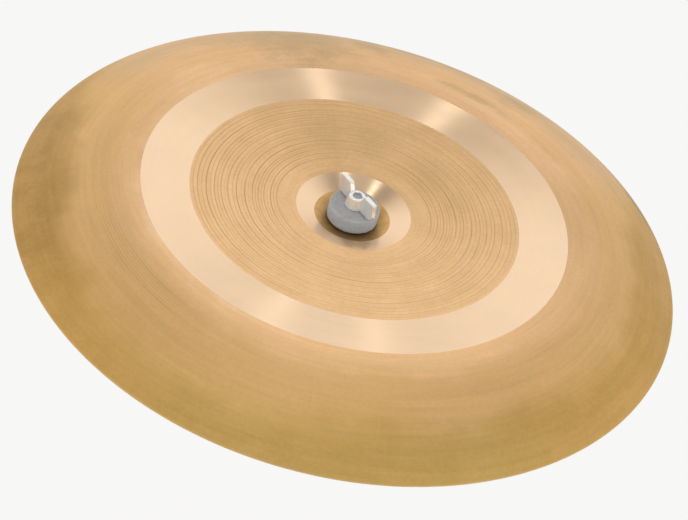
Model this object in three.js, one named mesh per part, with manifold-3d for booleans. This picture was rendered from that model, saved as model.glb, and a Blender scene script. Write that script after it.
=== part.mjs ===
// A china cymbal, 18 inches across, hung bell down on the threaded post of a stand.
// From the bottom up, all on the Z axis: the post, a seat nut, a cup washer, the lower felt,
// the cymbal, the upper felt and a wing nut, with a nylon sleeve through the felts and the cymbal.
// Millimetres, +Z up. The origin is the centre of the post's foot, where the rest of the stand carries on.
import * as THREE from "three";
import { mergeVertices } from "three/addons/utils/BufferGeometryUtils.js";
import Module from "manifold-3d";

const wasm = await Module();
wasm.setup();

// Clearances between pieces, and how far a cut runs past what it cuts
const metalSeatGap = 0.1;
const softSeatGap = 0.25;
const threadClearance = 0.3;
const sleeveClearance = 0.35;
const feltBoreClearance = 0.25;
const holeClearance = 1;
const cutOverrun = 1;

// Tilter post: a steel shank, and the stud that everything is threaded on
const studRadius = 3.7;
const studTipChamfer = 0.7;
const studRecess = 1;
const shankRadius = 6.2;
const shankLength = 22;
const shankChamfer = 0.8;

// Seat nut: a hexagonal nut that stands on the shank, with its flange up under the cup washer
const seatHexDistance = 13;
const seatHexChamfer = 0.7;
const seatHexChamferSlope = 30;
const seatNutHeight = 8;
const seatFlangeRadius = 8.9;
const seatFlangeThickness = 1.3;
const seatFlangeSlope = 22;

// Cup washer: a dished steel washer that holds the lower felt
const cupThickness = 1.3;
const cupWallRun = 3.6;
const cupWallSlope = 40;
const cupLip = 1.8;

// Sleeve: a nylon tube that keeps the cymbal off the thread
const sleeveWall = 1.2;
const sleeveTopChamfer = 0.5;
const sleeveRecess = 0.6;

// Felts
const feltRadius = 17.8;
const upperFeltThickness = 12.7;
const lowerFeltThickness = 13;
const feltEdgeRadius = 1.4;

// Cymbal, from the hole outwards: bell floor, bell turn, bell wall, fillet, bow, crease and flange.
// Each is as wide as said here, and the bow takes what is left. Slopes are in degrees, up outwards.
const rimRadius = 228.6;
const bellFloorRadius = 19;
const bellTurnWidth = 8;
const bellWallWidth = 12.5;
const bellFilletWidth = 6;
const creaseWidth = 16;
const flangeWidth = 62.6;
const holeSlope = 3.5;
const bellFloorSlope = 10;
const bellTurnSlope = 18;
const bellWallSlope = 25;
const bowStartSlope = 5.5;
const bowEndSlope = 10;
const flangeStartSlope = -8;
const rimSlope = -28;
const bellThickness = 1.4;
const bowThickness = 1.05;
const rimThickness = 0.85;
const rimEdgeBevel = 0.25;

// Wing nut: a cast cone with two upright wings, measured from its base and its axis
const nutHubHeight = 8.3;
const nutHubBaseWall = 3.5;
const nutHubTopWall = 1.9;
const nutHubTopRound = 0.7;
const nutBoreChamfer = 0.5;
const wingReach = 19.8;
const wingTopReach = 18.8;
const wingTopInset = 8;
const wingTopHeight = 13.8;
const wingRootHeight = 7.1;
const wingFootHeight = 0.7;
const wingFootReach = 15;
const wingWaistHeight = 4.8;
const wingCornerRadius = 1.1;
const wingThickness = 3.5;
const wingEdgeBevel = 0.4;
const wingAzimuth = -47;

// Fineness of the round surfaces
const cymbalSegments = 72;
const feltSegments = 40;
const hardwareSegments = 40;
const cornerSteps = 4;
const bedSteps = 3;

const radians = THREE.MathUtils.degToRad;

// Radii that follow from the sizes above
const nutBoreRadius = studRadius + threadClearance;
const sleeveBoreRadius = studRadius + sleeveClearance;
const sleeveRadius = sleeveBoreRadius + sleeveWall;
const feltBoreRadius = sleeveRadius + feltBoreClearance;
const holeRadius = sleeveRadius + holeClearance;
const cupFloorRadius = feltRadius - cupWallRun;
const cupRadius = feltRadius + cupLip;

// Heights of the stack, from the foot of the post
const seatBottom = shankLength + metalSeatGap;
const seatTop = seatBottom + seatNutHeight;
const cupBottom = seatTop + metalSeatGap;
const cupFloor = cupBottom + cupThickness;
const lowerFeltBottom = cupFloor + softSeatGap;
const lowerFeltTop = lowerFeltBottom + lowerFeltThickness;
const cymbalBottom = lowerFeltTop + softSeatGap;
const cymbalFloor = cymbalBottom + bellThickness;
const upperFeltBottom = cymbalFloor + softSeatGap;
const upperFeltTop = upperFeltBottom + upperFeltThickness;
const nutBase = upperFeltTop + metalSeatGap;
const nutTop = nutBase + nutHubHeight;
const studTop = nutTop - studRecess;
const sleeveBottom = cupFloor + metalSeatGap;
const sleeveTop = upperFeltTop - sleeveRecess;

const bronze = new THREE.MeshStandardMaterial({ color: 0xd2a76c, roughness: 0.4, metalness: 1 });
const plated = new THREE.MeshStandardMaterial({ color: 0xdcdcd8, roughness: 0.18, metalness: 1 });
const steel = new THREE.MeshStandardMaterial({ color: 0x9a9c9e, roughness: 0.35, metalness: 1 });
const greyFelt = new THREE.MeshStandardMaterial({ color: 0x8f9194, roughness: 0.95, metalness: 0 });
const nylon = new THREE.MeshStandardMaterial({ color: 0x1c1c1d, roughness: 0.5, metalness: 0 });

function point(radius, height) {
  return new THREE.Vector2(radius, height);
}

// Turns a profile of (radius, height) points about the Z axis.
function turned(profile, segments) {
  return new THREE.LatheGeometry(profile, segments).rotateX(Math.PI / 2);
}

function meshOf(name, geometry, material) {
  const mesh = new THREE.Mesh(geometry, material);
  mesh.name = name;
  return mesh;
}

// A closed geometry as a solid that can be joined and cut.
function solidOf(geometry) {
  const bare = geometry.clone();
  bare.deleteAttribute("normal");
  bare.deleteAttribute("uv");
  const merged = mergeVertices(bare);
  return new wasm.Manifold(
    new wasm.Mesh({
      numProp: 3,
      vertProperties: new Float32Array(merged.attributes.position.array),
      triVerts: new Uint32Array(merged.index.array),
    }),
  );
}

function geometryOf(solid) {
  const mesh = solid.getMesh();
  const geometry = new THREE.BufferGeometry();
  geometry.setAttribute("position", new THREE.BufferAttribute(mesh.vertProperties, mesh.numProp));
  geometry.setIndex(new THREE.BufferAttribute(mesh.triVerts, 1));
  geometry.computeVertexNormals();
  return geometry;
}

// A quarter round, or another arc, about a centre in the profile, between two directions in degrees.
function corner(centreRadius, centreHeight, round, from, to) {
  const points = [];
  for (let step = 0; step <= cornerSteps; step += 1) {
    const angle = radians(THREE.MathUtils.lerp(from, to, step / cornerSteps));
    points.push(point(centreRadius + round * Math.cos(angle), centreHeight + round * Math.sin(angle)));
  }
  return points;
}

// The stations of the cymbal's playing surface. Between two of them the surface is one arc that
// leaves the first at its slope and meets the second at its slope, so the whole line runs smooth.
const bellTurnRadius = bellFloorRadius + bellTurnWidth;
const bellWallRadius = bellTurnRadius + bellWallWidth;
const bowStartRadius = bellWallRadius + bellFilletWidth;
const flangeStartRadius = rimRadius - flangeWidth;
const bowEndRadius = flangeStartRadius - creaseWidth;
const surfaceStations = [
  { radius: holeRadius, slope: holeSlope, thickness: bellThickness, steps: 0 },
  { radius: bellFloorRadius, slope: bellFloorSlope, thickness: bellThickness, steps: 3 },
  { radius: bellTurnRadius, slope: bellTurnSlope, thickness: bellThickness, steps: 2 },
  { radius: bellWallRadius, slope: bellWallSlope, thickness: bellThickness, steps: 3 },
  { radius: bowStartRadius, slope: bowStartSlope, thickness: bowThickness, steps: 4 },
  { radius: bowEndRadius, slope: bowEndSlope, thickness: bowThickness, steps: 5 },
  { radius: flangeStartRadius, slope: flangeStartSlope, thickness: bowThickness, steps: 5 },
  { radius: rimRadius, slope: rimSlope, thickness: rimThickness, steps: 6 },
];

// One arc of the surface: its slope at a radius, and its rise from the arc's start to there.
function arcSlope(start, end, radius) {
  const share = (radius - start.radius) / (end.radius - start.radius);
  const startSine = Math.sin(radians(start.slope));
  const endSine = Math.sin(radians(end.slope));
  return Math.asin(THREE.MathUtils.lerp(startSine, endSine, share));
}

function arcRise(start, end, radius) {
  return (radius - start.radius) * Math.tan((radians(start.slope) + arcSlope(start, end, radius)) / 2);
}

// Height, slope and thickness of the cymbal at a radius. Inside the hole the first arc carries on.
function surfaceAt(radius) {
  let height = cymbalFloor;
  let end = 1;
  while (end < surfaceStations.length - 1 && radius > surfaceStations[end].radius) {
    height += arcRise(surfaceStations[end - 1], surfaceStations[end], surfaceStations[end].radius);
    end += 1;
  }
  const from = surfaceStations[end - 1];
  const to = surfaceStations[end];
  const share = (radius - from.radius) / (to.radius - from.radius);
  return {
    radius,
    height: height + arcRise(from, to, radius),
    slope: arcSlope(from, to, radius),
    thickness: THREE.MathUtils.lerp(from.thickness, to.thickness, Math.max(share, 0)),
  };
}

// A point of the sheet: share 0 lies on the playing surface, share 1 on the underside below it.
function throughSheet(at, share) {
  const depth = at.thickness * share;
  return point(at.radius + depth * Math.sin(at.slope), at.height - depth * Math.cos(at.slope));
}

function surfaceRadii() {
  const radii = [holeRadius];
  surfaceStations.forEach((station, i) => {
    for (let step = 1; step <= station.steps; step += 1) {
      radii.push(THREE.MathUtils.lerp(surfaceStations[i - 1].radius, station.radius, step / station.steps));
    }
  });
  return radii;
}

// The cymbal is one sheet of bronze: underside, bevelled rim, playing surface and hole.
function cymbalGeometry() {
  const places = surfaceRadii().map(surfaceAt);
  const rim = places.pop();
  const bevelShare = rimEdgeBevel / rim.thickness;
  const insideRim = surfaceAt(rimRadius - rimEdgeBevel);
  const profile = [
    ...places.map((at) => throughSheet(at, 1)),
    throughSheet(insideRim, 1),
    throughSheet(rim, 1 - bevelShare),
    throughSheet(rim, bevelShare),
    throughSheet(insideRim, 0),
    ...places.reverse().map((at) => throughSheet(at, 0)),
  ];
  profile.push(profile[0].clone());
  return turned(profile, cymbalSegments);
}

// The radii at which a felt's bed follows the bell, from its bore to the start of its round edge.
function feltBedRadii() {
  const radii = [];
  for (let step = 0; step <= bedSteps; step += 1) {
    radii.push(THREE.MathUtils.lerp(feltBoreRadius, feltRadius - feltEdgeRadius, step / bedSteps));
  }
  return radii;
}

// The upper felt is flat on top, and its underside takes the shape of the bell's floor.
function upperFeltGeometry() {
  const bed = feltBedRadii().map((radius) => point(radius, surfaceAt(radius).height + softSeatGap));
  const edge = bed.pop();
  const profile = [
    ...bed,
    ...corner(edge.x, edge.y + feltEdgeRadius, feltEdgeRadius, -90, 0),
    ...corner(edge.x, upperFeltTop - feltEdgeRadius, feltEdgeRadius, 0, 90),
    point(feltBoreRadius, upperFeltTop),
  ];
  profile.push(profile[0].clone());
  return turned(profile, feltSegments);
}

// The lower felt beds in the cup washer, and the outside of the bell presses its top hollow.
function lowerFeltGeometry() {
  const wallRise = cupWallRun * Math.tan(radians(cupWallSlope));
  const underside = (radius) => throughSheet(surfaceAt(radius), 1).y;
  const bed = feltBedRadii().map((radius) => point(radius, underside(radius) - softSeatGap));
  const edge = bed.pop();
  const profile = [
    point(feltBoreRadius, lowerFeltBottom),
    point(cupFloorRadius, lowerFeltBottom),
    point(feltRadius, lowerFeltBottom + wallRise),
    ...corner(edge.x, edge.y - feltEdgeRadius, feltEdgeRadius, 0, 90),
    ...bed.reverse(),
  ];
  profile.push(profile[0].clone());
  return turned(profile, feltSegments);
}

// The cup washer is pressed from sheet of one thickness: a flat floor, a slanted wall and a round lip.
function cupWasherGeometry() {
  const wall = radians(cupWallSlope);
  const wallRise = (cupRadius - cupFloorRadius) * Math.tan(wall);
  const kneeShift = cupThickness * Math.tan(wall / 2);
  const lipRound = cupThickness / 2;
  const lip = point(cupRadius + lipRound * Math.sin(wall), cupFloor + wallRise - lipRound * Math.cos(wall));
  const profile = [
    point(sleeveBoreRadius, cupBottom),
    point(cupFloorRadius + kneeShift, cupBottom),
    ...corner(lip.x, lip.y, lipRound, cupWallSlope - 90, cupWallSlope + 90),
    point(cupFloorRadius, cupFloor),
    point(sleeveBoreRadius, cupFloor),
  ];
  profile.push(profile[0].clone());
  return turned(profile, hardwareSegments);
}

function sleeveGeometry() {
  const profile = [
    point(sleeveBoreRadius, sleeveBottom),
    point(sleeveRadius, sleeveBottom),
    point(sleeveRadius, sleeveTop - sleeveTopChamfer),
    point(sleeveRadius - sleeveTopChamfer, sleeveTop),
    point(sleeveBoreRadius, sleeveTop),
  ];
  profile.push(profile[0].clone());
  return turned(profile, hardwareSegments);
}

// The post is turned from bar: a shank with a chamfer at each end, and the thinner stud on it.
function tilterPostGeometry() {
  const profile = [
    point(0, 0),
    point(shankRadius - shankChamfer, 0),
    point(shankRadius, shankChamfer),
    point(shankRadius, shankLength - shankChamfer),
    point(shankRadius - shankChamfer, shankLength),
    point(studRadius, shankLength),
    point(studRadius, studTop - studTipChamfer),
    point(studRadius - studTipChamfer, studTop),
    point(0, studTop),
  ];
  return turned(profile, hardwareSegments);
}

// What a drill takes out of a nut between two heights: its bore, and the chamfer at each mouth.
function drillSolid(bottom, top) {
  const mouth = nutBoreRadius + nutBoreChamfer + cutOverrun;
  const profile = [
    point(0, bottom - cutOverrun),
    point(mouth, bottom - cutOverrun),
    point(nutBoreRadius, bottom + nutBoreChamfer),
    point(nutBoreRadius, top - nutBoreChamfer),
    point(mouth, top + cutOverrun),
    point(0, top + cutOverrun),
  ];
  return solidOf(turned(profile, hardwareSegments));
}

// The seat nut is a hexagon with its lower corners turned off and a coned flange on top.
function seatNutGeometry() {
  const hexSides = 6;
  const hexCorner = seatHexDistance / 2 / Math.cos(Math.PI / hexSides);
  const chamferRun = seatHexChamfer / Math.tan(radians(seatHexChamferSlope));
  const flangeFoot = seatTop - seatFlangeThickness;
  const coneRise = (seatFlangeRadius - seatHexDistance / 2) * Math.tan(radians(seatFlangeSlope));
  const hex = turned(
    [
      point(0, seatBottom),
      point(hexCorner, seatBottom),
      point(hexCorner, flangeFoot),
      point(0, flangeFoot),
    ],
    hexSides,
  );
  const turnedOff = turned(
    [
      point(0, seatBottom),
      point(hexCorner - chamferRun, seatBottom),
      point(hexCorner, seatBottom + seatHexChamfer),
      point(hexCorner, seatTop),
      point(0, seatTop),
    ],
    hardwareSegments,
  );
  const flange = turned(
    [
      point(0, flangeFoot - coneRise),
      point(seatHexDistance / 2, flangeFoot - coneRise),
      point(seatFlangeRadius, flangeFoot),
      point(seatFlangeRadius, seatTop),
      point(0, seatTop),
    ],
    hardwareSegments,
  );
  const nut = solidOf(hex).intersect(solidOf(turnedOff)).add(solidOf(flange));
  return geometryOf(nut.subtract(drillSolid(seatBottom, seatTop)));
}

// One wing from the side: straight top and outer edge, a round foot, and a root inside the hub.
function wingOutline() {
  const rootReach = nutBoreRadius + nutHubTopWall / 2;
  const wing = new THREE.Shape();
  wing.moveTo(rootReach, wingFootHeight);
  wing.lineTo(wingFootReach, wingFootHeight);
  wing.quadraticCurveTo(wingReach, wingFootHeight, wingReach, wingWaistHeight);
  wing.lineTo(wingTopReach, wingTopHeight - wingCornerRadius);
  wing.quadraticCurveTo(wingTopReach, wingTopHeight, wingTopReach - wingCornerRadius, wingTopHeight);
  wing.lineTo(wingTopInset + wingCornerRadius, wingTopHeight);
  wing.quadraticCurveTo(wingTopInset, wingTopHeight, wingTopInset, wingTopHeight - wingCornerRadius);
  wing.lineTo(rootReach, wingRootHeight);
  return wing;
}

function wingSolid(turn) {
  const wing = new THREE.ExtrudeGeometry(wingOutline(), {
    depth: wingThickness - 2 * wingEdgeBevel,
    bevelEnabled: true,
    bevelThickness: wingEdgeBevel,
    bevelSize: wingEdgeBevel,
    bevelOffset: -wingEdgeBevel,
    bevelSegments: 2,
    curveSegments: cornerSteps,
  });
  wing.translate(0, 0, wingEdgeBevel - wingThickness / 2);
  wing.rotateX(Math.PI / 2);
  wing.rotateZ(radians(wingAzimuth) + turn);
  wing.translate(0, 0, nutBase);
  return solidOf(wing);
}

// The wing nut is one casting: a cone with a rounded top, two wings, and a hole drilled through it.
function wingNutGeometry() {
  const baseRadius = nutBoreRadius + nutHubBaseWall;
  const topRadius = nutBoreRadius + nutHubTopWall;
  const hub = turned(
    [
      point(0, nutBase),
      point(baseRadius, nutBase),
      ...corner(topRadius - nutHubTopRound, nutTop - nutHubTopRound, nutHubTopRound, 0, 90),
      point(0, nutTop),
    ],
    hardwareSegments,
  );
  const casting = solidOf(hub).add(wingSolid(0)).add(wingSolid(Math.PI));
  return geometryOf(casting.subtract(drillSolid(nutBase, nutTop)));
}

const chinaCymbal = new THREE.Group();
chinaCymbal.add(
  meshOf("tilter_post", tilterPostGeometry(), steel),
  meshOf("seat_nut", seatNutGeometry(), steel),
  meshOf("cup_washer", cupWasherGeometry(), steel),
  meshOf("sleeve", sleeveGeometry(), nylon),
  meshOf("lower_felt", lowerFeltGeometry(), greyFelt),
  meshOf("china_cymbal", cymbalGeometry(), bronze),
  meshOf("upper_felt", upperFeltGeometry(), greyFelt),
  meshOf("wing_nut", wingNutGeometry(), plated),
);

export default chinaCymbal;
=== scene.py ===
import math

import bmesh
import bpy
import numpy as np
from mathutils import Matrix, Vector, noise


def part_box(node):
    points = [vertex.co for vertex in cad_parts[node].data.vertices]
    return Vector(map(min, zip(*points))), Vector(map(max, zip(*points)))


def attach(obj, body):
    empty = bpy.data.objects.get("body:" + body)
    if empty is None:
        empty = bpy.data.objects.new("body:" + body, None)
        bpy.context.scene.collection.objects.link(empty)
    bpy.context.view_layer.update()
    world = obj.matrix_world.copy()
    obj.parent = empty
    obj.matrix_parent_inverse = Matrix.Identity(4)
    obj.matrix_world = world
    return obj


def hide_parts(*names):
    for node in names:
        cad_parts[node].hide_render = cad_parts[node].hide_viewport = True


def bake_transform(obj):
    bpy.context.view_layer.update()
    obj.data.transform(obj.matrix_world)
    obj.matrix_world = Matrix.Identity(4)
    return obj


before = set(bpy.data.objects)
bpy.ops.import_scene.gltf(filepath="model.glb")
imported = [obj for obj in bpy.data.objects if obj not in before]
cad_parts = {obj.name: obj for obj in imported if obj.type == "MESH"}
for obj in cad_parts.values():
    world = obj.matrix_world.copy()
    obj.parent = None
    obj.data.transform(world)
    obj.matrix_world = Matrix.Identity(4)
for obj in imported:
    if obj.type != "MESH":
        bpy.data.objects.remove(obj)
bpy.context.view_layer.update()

MM = 0.001


def lowest(node):
    """Height of a CAD node's lowest point in millimetres."""
    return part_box(node)[0][2] / MM


def highest(node):
    """Height of a CAD node's highest point in millimetres."""
    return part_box(node)[1][2] / MM


def reach(node):
    """Radius of a round CAD node in millimetres."""
    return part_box(node)[1][0] / MM


# Sizes are in millimetres and angles in degrees, where nothing else is said.

# The cymbal's playing surface: radius, slope and thickness at each station
STATIONS = [
    (6.25, 3.5, 1.4),
    (19.0, 10.0, 1.4),
    (27.0, 18.0, 1.4),
    (39.5, 25.0, 1.4),
    (45.5, 5.5, 1.05),
    (150.0, 10.0, 1.05),
    (166.0, -8.0, 1.05),
    (228.6, -28.0, 0.85),
]
HOLE_RADIUS, HOLE_SLOPE, BELL_THICKNESS = STATIONS[0]
BOW_START, CREASE_START = STATIONS[4][0], STATIONS[5][0]
RIM_RADIUS, _, RIM_THICKNESS = STATIONS[-1]
BELL_RING = (26.7, 40.4)
BOW_RING = (114.6, 147.4)
CYMBAL_SEGMENTS = 256
ROUND = np.ones(CYMBAL_SEGMENTS)

# The turning tool's grooves inside the bow ring, and its finer lines on the near left of the flange
GROOVED = (54.2, 112.8)
GROOVE_STEPS = (1.9, 3.1)
GROOVE_STEP_SHARES = (0.72, 1.28)
GROOVE_DEPTH = 0.05
GROOVE_HALF_WIDTH = 0.47
GROOVE_SHAPE_SHARES = ((-1.0, 0.0), (-0.42, 0.7), (0.0, 1.0), (0.42, 0.6), (1.0, -0.15))
GROOVE_CLEARANCE = 0.4
FINE_LINES = (168.4, 170.1, 171.9, 173.8, 175.6, 177.5)
FINE_LINE_DEPTH = 0.04
FINE_LINES_AZIMUTH, FINE_LINES_SPREAD = -137.0, 24.0

# Rings of the mesh between the grooves and on the underside: first and last radius, and how many
TOP_RINGS = [
    (HOLE_RADIUS + 0.35, BELL_RING[0] - 1.4, 18),
    (BELL_RING[0] + 1.1, BELL_RING[1] - 1.2, 11),
    (BELL_RING[1] + 1.1, GROOVED[0] - 1.4, 10),
    (GROOVED[0], GROOVED[1] + 0.6, 24),
    (BOW_RING[0] + 1.6, BOW_RING[1] - 1.6, 18),
    (BOW_RING[1] + 1.4, RIM_RADIUS - 1.5, 55),
]
UNDERSIDE_RINGS = [
    (RIM_RADIUS - 1.6, CREASE_START - 2.0, 36),
    (CREASE_START - 3.5, BOW_START + 1.5, 50),
    (BOW_START, HOLE_RADIUS + 0.75, 20),
]
UNDERSIDE_STEPPED = (BOW_START + 1.5, RIM_RADIUS - 3.0)
UNDERSIDE_STEP, UNDERSIDE_SHADE = 0.022, 0.35

# Edges of the sheet, and the unevenness that hand work leaves
RIM_INSET = 0.1
HOLE_INSET, HOLE_CORNER, HOLE_LIP = 0.03, 0.17, 0.02
HAND_START, HAND_LINES, HAND_HEIGHT = 20.0, 24, 0.1
HAND_FADES = (60.0, 12.0)

# The inner edge of the flange's brown patina: azimuth and radius
PATINA_EDGE = [
    (-180, 198), (-160, 193), (-140, 203), (-125, 211), (-90, 208), (-70, 202), (-47, 195), (-38, 202),
    (-26, 206), (-12, 199), (0, 197), (12, 204), (28, 226), (45, 242), (140, 242), (156, 229), (168, 210),
    (180, 198),
]
CLEAN_EDGE, AGED_EDGE = 234.0, 212.0

# Heights of the stack
CUP_BOTTOM = lowest("cup_washer")
LOWER_FELT_BOTTOM = lowest("lower_felt")
CYMBAL_FLOOR = lowest("china_cymbal") + BELL_THICKNESS * math.cos(math.radians(HOLE_SLOPE))
UPPER_FELT_TOP = highest("upper_felt")
SLEEVE_BOTTOM, SLEEVE_TOP = lowest("sleeve"), highest("sleeve")
SEAT_NUT_BOTTOM, SEAT_NUT_TOP = lowest("seat_nut"), highest("seat_nut")
NUT_BASE = lowest("wing_nut")
STUD_TOP = highest("tilter_post")

# Felts
FELT_RADIUS = reach("upper_felt")
FELT_BORE = 5.5
TILTING_BORE = 6.15
FELT_ROUND = 1.4
FELT_INNER = FELT_RADIUS - FELT_ROUND
FELT_BED = np.linspace(TILTING_BORE, FELT_INNER, 9)
FELT_SEAT_GAP = 0.25
FELT_STEP = 0.45
FELT_SEGMENTS = 160
FELT_SPLIT = 55.0
FELT_BORE_STEP = 1.4
FELT_LUMPS, FELT_LUMP_SIZE = 0.16, 3.2
FELT_NAP, FELT_NAP_SIZE = 0.06, 0.8
FELT_SINK = 0.12
FELT_CALM_RADIUS, FELT_CALM_HEIGHT = FELT_BORE + 2.5, 1.2
UPPER_FELT_CUT, LOWER_FELT_CUT = 40.0, 120.0
SEAT_BEND_START, SEAT_BEND_END = 36.0, 44.0
SEAT_BORE_STEP = 0.6
FELT_SIDE_START, FELT_SIDE_END = FELT_RADIUS - 1.2, FELT_RADIUS - 0.2

# Cup washer and sleeve
CUP_THICKNESS = 1.3
CUP_WALL_RUN = 3.6
CUP_LIP = 1.8
CUP_SLOPE = 40.0
CUP_INSIDE_ROUND = 1.5
WASHER_BORE = 4.05
SLEEVE_RADIUS = reach("sleeve")
SMALL_BEVEL = 0.15

# Post: a shank, and a stud with an M8 thread
SHANK_RADIUS = reach("tilter_post")
SHANK_LENGTH = 22.0
SHANK_ROUND = 0.8
PITCH = 1.25
THREAD_CREST = 3.95
THREAD_ROOT = 3.3
THREAD_PLAY = 0.12
RELIEF_LENGTH = 1.1
NECK_RADIUS, FULL_RADIUS = THREAD_ROOT - 0.1, THREAD_CREST + 0.2
STUD_TIP = 1.0

# Seat nut
HEX_DISTANCE = 13.0
HEX_CORNER_DROP = 0.7
HEX_CORNER_RUN = 1.25
FLANGE_RADIUS = reach("seat_nut")
FLANGE_THICKNESS = 1.3
FLANGE_ROUND = 0.3
FLANGE_SLOPE = 22.0
NUT_BORE = 4.0
NUT_MOUTH = 1.1

# Wing nut, measured from its base and its axis
HUB_HEIGHT = 8.3
HUB_BASE_RADIUS = 7.5
HUB_TOP_RADIUS = 5.9
HUB_ROUND = 0.7
HUB_FOOT_BEVEL = 0.25
WING_REACH = 19.8
WING_TOP_REACH = 18.8
WING_TOP_INSET = 8.0
WING_TOP = 13.8
WING_ROOT_REACH = 4.0
WING_ROOT_HEIGHT = 7.1
WING_FOOT = 0.7
WING_FOOT_REACH = 15.0
WING_WAIST = 4.8
WING_CORNER = 1.1
WING_THICKNESS = 3.5
WING_AZIMUTH = -47.0
CASTING_VOXEL = 0.24
TAP_OVERRUN = 1.5
TAP_FOOT_FLARE = 0.6
TAP_TOP_FLARES, TAP_TOP_DEPTH = (0.4, 0.6), 0.25

HARDWARE_SEGMENTS, THREAD_SEGMENTS = 96, 48
TURNED_EDGE, CAST_EDGE, SEAT_NUT_EDGE = 30, 35, 28

# Studio: places and sizes in metres, power in watts
FLOOR_HEIGHT = -0.7
FLOOR_HALF = 8.0
LAMPS = [((0.25, 0.46, 1.5), 12), ((-0.195, 0.46, 1.5), -12)]
LAMP_WIDTH, LAMP_LENGTH = 0.06, 0.3
LAMP_POWER = 0.74
BACKGROUND_LEVEL = 0.945
SKY_LEVEL = [
    (0.0, 1.42), (0.3, 1.02), (0.5, 0.99), (0.65, 0.96), (0.8, 0.66), (0.87, 0.26), (0.94, 0.24),
    (1.0, 0.85),
]
SKY_WARMTH = [(0.65, 0.0), (0.82, 1.0), (0.92, 1.0), (1.0, 0.3)]

# The photograph's camera, fitted to its ellipses, and its clip distances in metres
CAMERA_PLACE = (-18.77, -644.55, 570.77)
CAMERA_DOWN, CAMERA_ROLL = 40.26, 14.49
CAMERA_LENS, CAMERA_SENSOR = 62.68, 36.0
CAMERA_SHIFT = (0.0363, -0.0363)
CAMERA_CLIP = (0.01, 60.0)


# Meshes

def object_of(name, data):
    """A new object in the scene, at the origin."""
    piece = bpy.data.objects.new(name, data)
    bpy.context.scene.collection.objects.link(piece)
    return piece


def finish_piece(piece, material, node, body=None):
    """Gives a piece its material, hides the CAD node that it stands for, and hangs it on the body that
    carries it.
    """
    piece.data.materials.clear()
    piece.data.materials.append(material)
    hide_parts(node)
    if body:
        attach(piece, body)


def grid_mesh(name, places, closed=True):
    """A mesh of quads over places[ring, segment], closed round each ring. With closed, the last
    ring also joins the first."""
    here = np.arange(places.shape[0] * places.shape[1]).reshape(places.shape[:2])
    above = np.roll(here, -1, 0)
    quads = np.stack([here, above, np.roll(above, -1, 1), np.roll(here, -1, 1)], -1)
    quads = quads if closed else quads[:-1]
    mesh = bpy.data.meshes.new(name)
    mesh.from_pydata((places.reshape(-1, 3) * MM).tolist(), [], quads.reshape(-1, 4).tolist())
    mesh.shade_smooth()
    return mesh


def angles(segments):
    """Angles of the segments round the axis, in radians."""
    return np.arange(segments) * (2 * math.pi / segments)


def ring_places(radii, heights):
    """Places from radii[ring, segment] and heights[ring, segment]."""
    angle = angles(radii.shape[1])
    return np.stack([radii * np.cos(angle), radii * np.sin(angle), heights], -1)


def clean(mesh):
    """Joins points that meet, such as those of a profile on the axis, and turns faces outwards."""
    work = bmesh.new()
    work.from_mesh(mesh)
    bmesh.ops.remove_doubles(work, verts=work.verts, dist=1e-6)
    bmesh.ops.dissolve_degenerate(work, dist=1e-7, edges=work.edges)
    bmesh.ops.recalc_face_normals(work, faces=work.faces)
    work.to_mesh(mesh)
    work.free()


def level_rows(points, segments=THREAD_SEGMENTS):
    """Radii and heights of rows for points of (radius, height), the same all round."""
    return [np.tile(column[:, None], segments) for column in np.array(points, float).T]


def smooth(mesh, sharp):
    """Shades a mesh smooth, but for edges past the angle sharp."""
    mesh.shade_smooth()
    mesh.set_sharp_from_angle(angle=math.radians(sharp))


def rows_object(name, radii, heights, closed=True):
    """A piece of hardware from the radii and heights of its rows."""
    mesh = grid_mesh(name, ring_places(radii, heights), closed)
    clean(mesh)
    smooth(mesh, TURNED_EDGE)
    return object_of(name, mesh)


def turned(name, profile, segments=HARDWARE_SEGMENTS):
    """A piece turned from a closed profile of (radius, height), counter-clockwise."""
    return rows_object(name, *level_rows(profile, segments))


def stacked(name, *parts):
    """One closed piece from stacked rows, which start and end on the axis."""
    radii, heights = (np.concatenate(rows) for rows in zip(*parts))
    return rows_object(name, radii, heights, closed=False)


def arc(centre, radius, start, end, steps=6):
    """Points of an arc in the profile, from one direction in degrees to another."""
    turns = np.radians(np.linspace(start, end, steps + 1))
    return [(centre[0] + radius * math.cos(a), centre[1] + radius * math.sin(a)) for a in turns]


def quadratic(start, bend, end, steps=8):
    """Points of a curve from start to end that pulls towards bend."""
    return [tuple((1 - t) ** 2 * a + 2 * t * (1 - t) * b + t * t * c for a, b, c in zip(start, bend, end))
            for t in (k / steps for k in range(steps + 1))]


def settle(piece):
    """Gives the piece a new mesh of what its modifiers make."""
    bpy.context.view_layer.update()
    shown = piece.evaluated_get(bpy.context.evaluated_depsgraph_get())
    mesh = bpy.data.meshes.new_from_object(shown)
    mesh.name = piece.name
    piece.modifiers.clear()
    piece.data = mesh


def combine(piece, other, operation):
    """Joins the piece with another, cuts it by that or keeps what is inside both. The other is used up."""
    change = piece.modifiers.new("combine", "BOOLEAN")
    change.operation, change.solver, change.object = operation, "EXACT", other
    settle(piece)
    bpy.data.objects.remove(other)


def waves(rng, orders, share):
    """A smooth random line round the cymbal, between about -share and share."""
    angle, total = angles(CYMBAL_SEGMENTS), 0.0
    for order in orders:
        total = total + rng.normal() * np.cos(order * angle + rng.uniform(0, 2 * math.pi))
    return share * total / math.sqrt(len(orders))


def wool(place, size, octaves):
    """Fractal noise at a place in millimetres."""
    return noise.fractal(Vector(place) / size, 1.0, 2.0, octaves)


# Material nodes

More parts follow.
